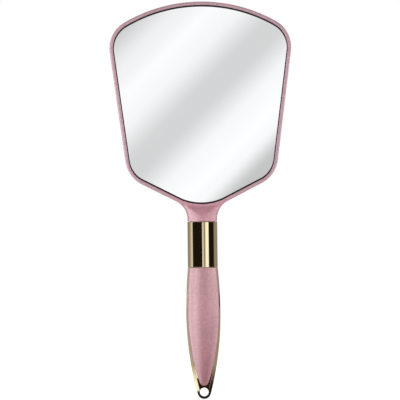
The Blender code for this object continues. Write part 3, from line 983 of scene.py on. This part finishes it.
# Brightness of the studio in reflections, by bearing in degrees from the camera's side,
# positive to the right. At eye level: bright softbox, black flags and dim walls
WALLS = (
    (-180, 0.28),
    (-138, 0.27),
    (-115, 0.36),
    (-100, 0.62),
    (-86, 0.76),
    (-80.5, 0.013),
    (2.0, 0.013),
    (3.0, 0.7),
    (11.5, 0.52),
    (13.5, 0.22),
    (17, 0.22),
    (22, 0.75),
    (27, 1.12),
    (45, 1.12),
    (50, 0.013),
    (94, 0.013),
    (103, 0.31),
    (180, 0.28),
)

# Just below it and above it: pale in front, a softbox on the right, dim sides and dark gaps
SILL = (
    (-150, 0.3),
    (-125, 0.45),
    (-60, 0.45),
    (-50, 0.018),
    (-32, 0.018),
    (-26, 0.6),
    (22, 0.6),
    (26, 0.9),
    (46, 0.9),
    (52, 0.018),
    (56, 0.018),
    (62, 0.33),
    (125, 0.33),
    (150, 0.3),
)

# The table top: bright on the left, pale in front and dark on the right
TABLE = (
    (-150, 0.3),
    (-125, 1.12),
    (-60, 1.12),
    (-50, 0.02),
    (-32, 0.02),
    (-26, 0.6),
    (26, 0.6),
    (32, 0.02),
    (125, 0.02),
    (150, 0.3),
)

# The floor farther down, which upright surfaces show to a camera above them
LOWER_FLOOR = (
    (-180, 0.3),
    (-140, 0.3),
    (-135, 0.9),
    (-105, 0.9),
    (-100, 0.02),
    (-75, 0.02),
    (-70, 0.8),
    (-20, 0.8),
    (-14, 0.65),
    (14, 0.65),
    (20, 0.9),
    (60, 0.9),
    (66, 0.02),
    (112, 0.02),
    (120, 0.4),
    (180, 0.3),
)

# Straight down, and the dark ceiling all round
STRAIGHT_DOWN = 0.75
CEILING = ((0, 0.045),)

# Layers from bottom to top, each with the rise of the direction over which it sets in
LAYERS = (
    ((-0.62, -0.54), LOWER_FLOOR),
    ((-0.327, -0.319), TABLE),
    ((-0.3, -0.235), SILL),
    ((-0.042, -0.034), WALLS),
    ((-0.005, 0.01), SILL),
    ((0.2, 0.24), CEILING),
)
WARMTH = (1.0, 0.42, 0.2)
WARMTH_POWER = 0.25

# Soft diagonal bands that the glass reflects, by x minus z of the reflected direction
BANDS = (
    (-0.116, 0.60),
    (-0.092, 0.93),
    (-0.080, 1.02),
    (-0.070, 0.98),
    (-0.047, 0.69),
    (-0.041, 0.69),
    (-0.018, 1.0),
    (-0.007, 1.04),
    (0.000, 1.0),
    (0.014, 0.58),
    (0.030, 0.55),
    (0.045, 0.80),
    (0.060, 0.98),
    (0.075, 0.95),
    (0.100, 0.66),
    (0.130, 0.95),
)
BAND_SPAN = (-0.12, 0.14)
BAND_REACH = 0.043
BAND_RISE = 0.16

# Dark cards before the loop, before the right rail and under the loop, as lowest and
# highest corners
FLAG_BRIGHTNESS = 0.018
FLAGS = (
    ("front_flag", (-0.012, -0.021, -0.072), (0.012, -0.02, -0.0508)),
    ("right_flag", (0.001, -0.021, -0.0508), (0.012, -0.02, -0.036)),
    ("loop_flag", (-0.02, -0.012, -0.075), (0.02, 0.02, -0.074)),
)

# Lights: name, bearing in degrees, distance, lower end, upper end, width and brightness
SHADING_LIGHTS = (
    ("key", -48, 1.35, 0.55, 1.45, 0.9, 2.85),
    ("fill", 63, 1.35, 0.15, 0.85, 0.7, 1.6),
)
GRIP_GLOSS = (
    ("grip_left", -40, 1.0, -1.2, 0.15, 0.75, 2.0),
    ("grip_right", 50, 1.0, 0.0, 0.8, 0.8, 1.6),
    ("grip_edge", 90, 1.0, 0.1, 0.8, 0.8, 2.5),
)
PINK_GLOSS = (
    ("left_strip", -80, 0.8, -0.5, 0.5, 1.4, 3.7),
    ("left_front", -30, 1.0, -0.3, 1.0, 0.5, 1.8),
    ("right_front", 40, 1.0, -0.3, 1.0, 0.6, 1.0),
    ("right_strip", 92, 0.8, -0.5, 0.5, 1.0, 2.1),
    ("front_panel", 0, 1.0, -0.12, 1.0, 2.0, 0.4),
)


def tinted(value):
    """Grey that gets warmer as it gets darker."""
    share = min(value, 1) ** WARMTH_POWER
    return tuple(value * (warm + (1 - warm) * share) for warm in WARMTH)


def studio_directions(tree):
    """Bearing from the camera's side as a share of a turn, and the direction's axes."""
    direction = add(tree, "TexCoord").outputs["Generated"]
    x, y, z = add(tree, "SeparateXYZ", {"Vector": direction}).outputs
    bearing = maths(tree, "ARCTAN2", x, maths(tree, "MULTIPLY", y, -1.0))
    return maths(tree, "MULTIPLY_ADD", bearing, 0.5 / math.pi, 0.5), x, y, z


def glossy_surroundings(tree):
    """What shiny surfaces see: the layers of the studio, and the bands ahead."""
    turn, x, y, z = studio_directions(tree)
    around = tinted(STRAIGHT_DOWN)
    for start, bearings in LAYERS:
        stops = [(angle / 360 + 0.5, tinted(value)) for angle, value in bearings]
        around = mixed(tree, between(tree, z, *start), around, ramp(tree, turn, stops))

    low, high = BAND_SPAN
    slant = maths(tree, "SUBTRACT", x, z)
    share = maths(tree, "DIVIDE", maths(tree, "SUBTRACT", slant, low), high - low)
    stops = [((place - low) / (high - low), grey(value)) for place, value in BANDS]
    bands = ramp(tree, share, stops, "EASE")
    narrow = maths(tree, "LESS_THAN", maths(tree, "ABSOLUTE", x), BAND_REACH)
    ahead = maths(tree, "LESS_THAN", y, 0.0)
    level = maths(tree, "LESS_THAN", maths(tree, "ABSOLUTE", z), BAND_RISE)
    inside = maths(tree, "MULTIPLY", narrow, maths(tree, "MULTIPLY", ahead, level))
    return mixed(tree, inside, around, bands)


def studio_world():
    """White to the camera, soft and even on matt surfaces, and a studio in reflections."""
    world = bpy.data.worlds.new("studio")
    bpy.context.scene.world = world
    world.use_nodes = True
    world.cycles.sampling_method = "NONE"
    tree = world.node_tree
    tree.nodes.clear()
    path = add(tree, "LightPath")
    lit = mixed(tree, path.outputs["Is Glossy Ray"], grey(AMBIENT), glossy_surroundings(tree))
    seen = mixed(tree, path.outputs["Is Camera Ray"], lit, WHITE)
    sky = add(tree, "Background", {"Color": seen})
    add(tree, "OutputWorld", {"Surface": sky.outputs[0]})


def floor():
    """Pale floor just under the hanging loop, which reflections miss and which blocks no light."""
    bm = bmesh.new()
    bmesh.ops.create_circle(bm, cap_ends=True, segments=96, radius=FLOOR_RADIUS)
    made = add_mesh("floor", bm)
    made.location.z = CAD_BOX[0].z - FLOOR_DROP
    finish, _ = new_material(
        "pale_floor",
        Base_Color=(*FLOOR_GREY, 1),
        Roughness=0.9,
        Specular_IOR_Level=0,
        Emission_Color=(*WHITE, 1),
        Emission_Strength=FLOOR_LIFT,
    )
    made.data.materials.append(finish)
    made.visible_glossy = False
    made.visible_shadow = False


def flag(name, low, high):
    """Thin dark card that only glossy reflections see."""
    made = box(name, low, high)
    finish, _ = new_material(
        name,
        Base_Color=(*grey(0), 1),
        Roughness=1.0,
        Specular_IOR_Level=0,
        Emission_Color=(*tinted(FLAG_BRIGHTNESS), 1),
        Emission_Strength=1,
    )
    made.data.materials.append(finish)
    made.visible_camera = False
    made.visible_diffuse = False
    made.visible_shadow = False


def softbox(name, bearing, distance, low, high, width, brightness):
    """Upright rectangular light that faces the object's axis, from height low to height high."""
    light = bpy.data.lights.new(name, "AREA")
    light.shape = "RECTANGLE"
    light.size = width
    light.size_y = high - low
    light.energy = brightness * math.pi * width * (high - low)
    made = bpy.data.objects.new(name, light)
    bpy.context.scene.collection.objects.link(made)
    turn = math.radians(bearing)
    made.location = (distance * math.sin(turn), -distance * math.cos(turn), (low + high) / 2)
    made.rotation_euler = (math.pi / 2, 0, turn)
    made.visible_camera = False
    return made


def group(name, *pieces):
    """Collection of pieces that share their gloss lights."""
    made = bpy.data.collections.new(name)
    for piece in pieces:
        made.objects.link(piece)
    return made


def gloss(lights, pieces):
    """Lights that show only as gloss on the given pieces."""
    for row in lights:
        light = softbox(*row)
        light.visible_diffuse = False
        light.light_linking.receiver_collection = pieces


def camera():
    """Long lens straight in front, rolled as the photograph is."""
    lens = bpy.data.cameras.new("camera")
    lens.lens = CAMERA_LENS
    lens.sensor_width = SENSOR_WIDTH
    made = bpy.data.objects.new("camera", lens)
    bpy.context.scene.collection.objects.link(made)
    x, z = VIEW_CENTRE
    made.location = (x, -VIEW_WIDTH * CAMERA_LENS / SENSOR_WIDTH, z)
    made.rotation_euler = (math.pi / 2, CAMERA_ROLL, 0)
    bpy.context.scene.camera = made


bpy.context.scene.view_settings.view_transform = "Standard"
camera()
studio_world()
floor()
for row in SHADING_LIGHTS:
    softbox(*row).visible_glossy = False
head_pieces = group("head_pieces", head_moulding(), cover_plate())
grip_pieces = group(
    "grip_pieces",
    grip_shell("grip_front", "front_grip", behind=False),
    grip_shell("grip_back", "rear_grip", behind=True),
)
pink_pieces = group("pink_pieces", *head_pieces.objects, *grip_pieces.objects)
glass_plate()
gasket_ring()
collar_sleeve()
gold_core()
for row in FLAGS:
    flag(*row)
gloss(GRIP_GLOSS, grip_pieces)
gloss(PINK_GLOSS, pink_pieces)
dress_hidden_nodes()
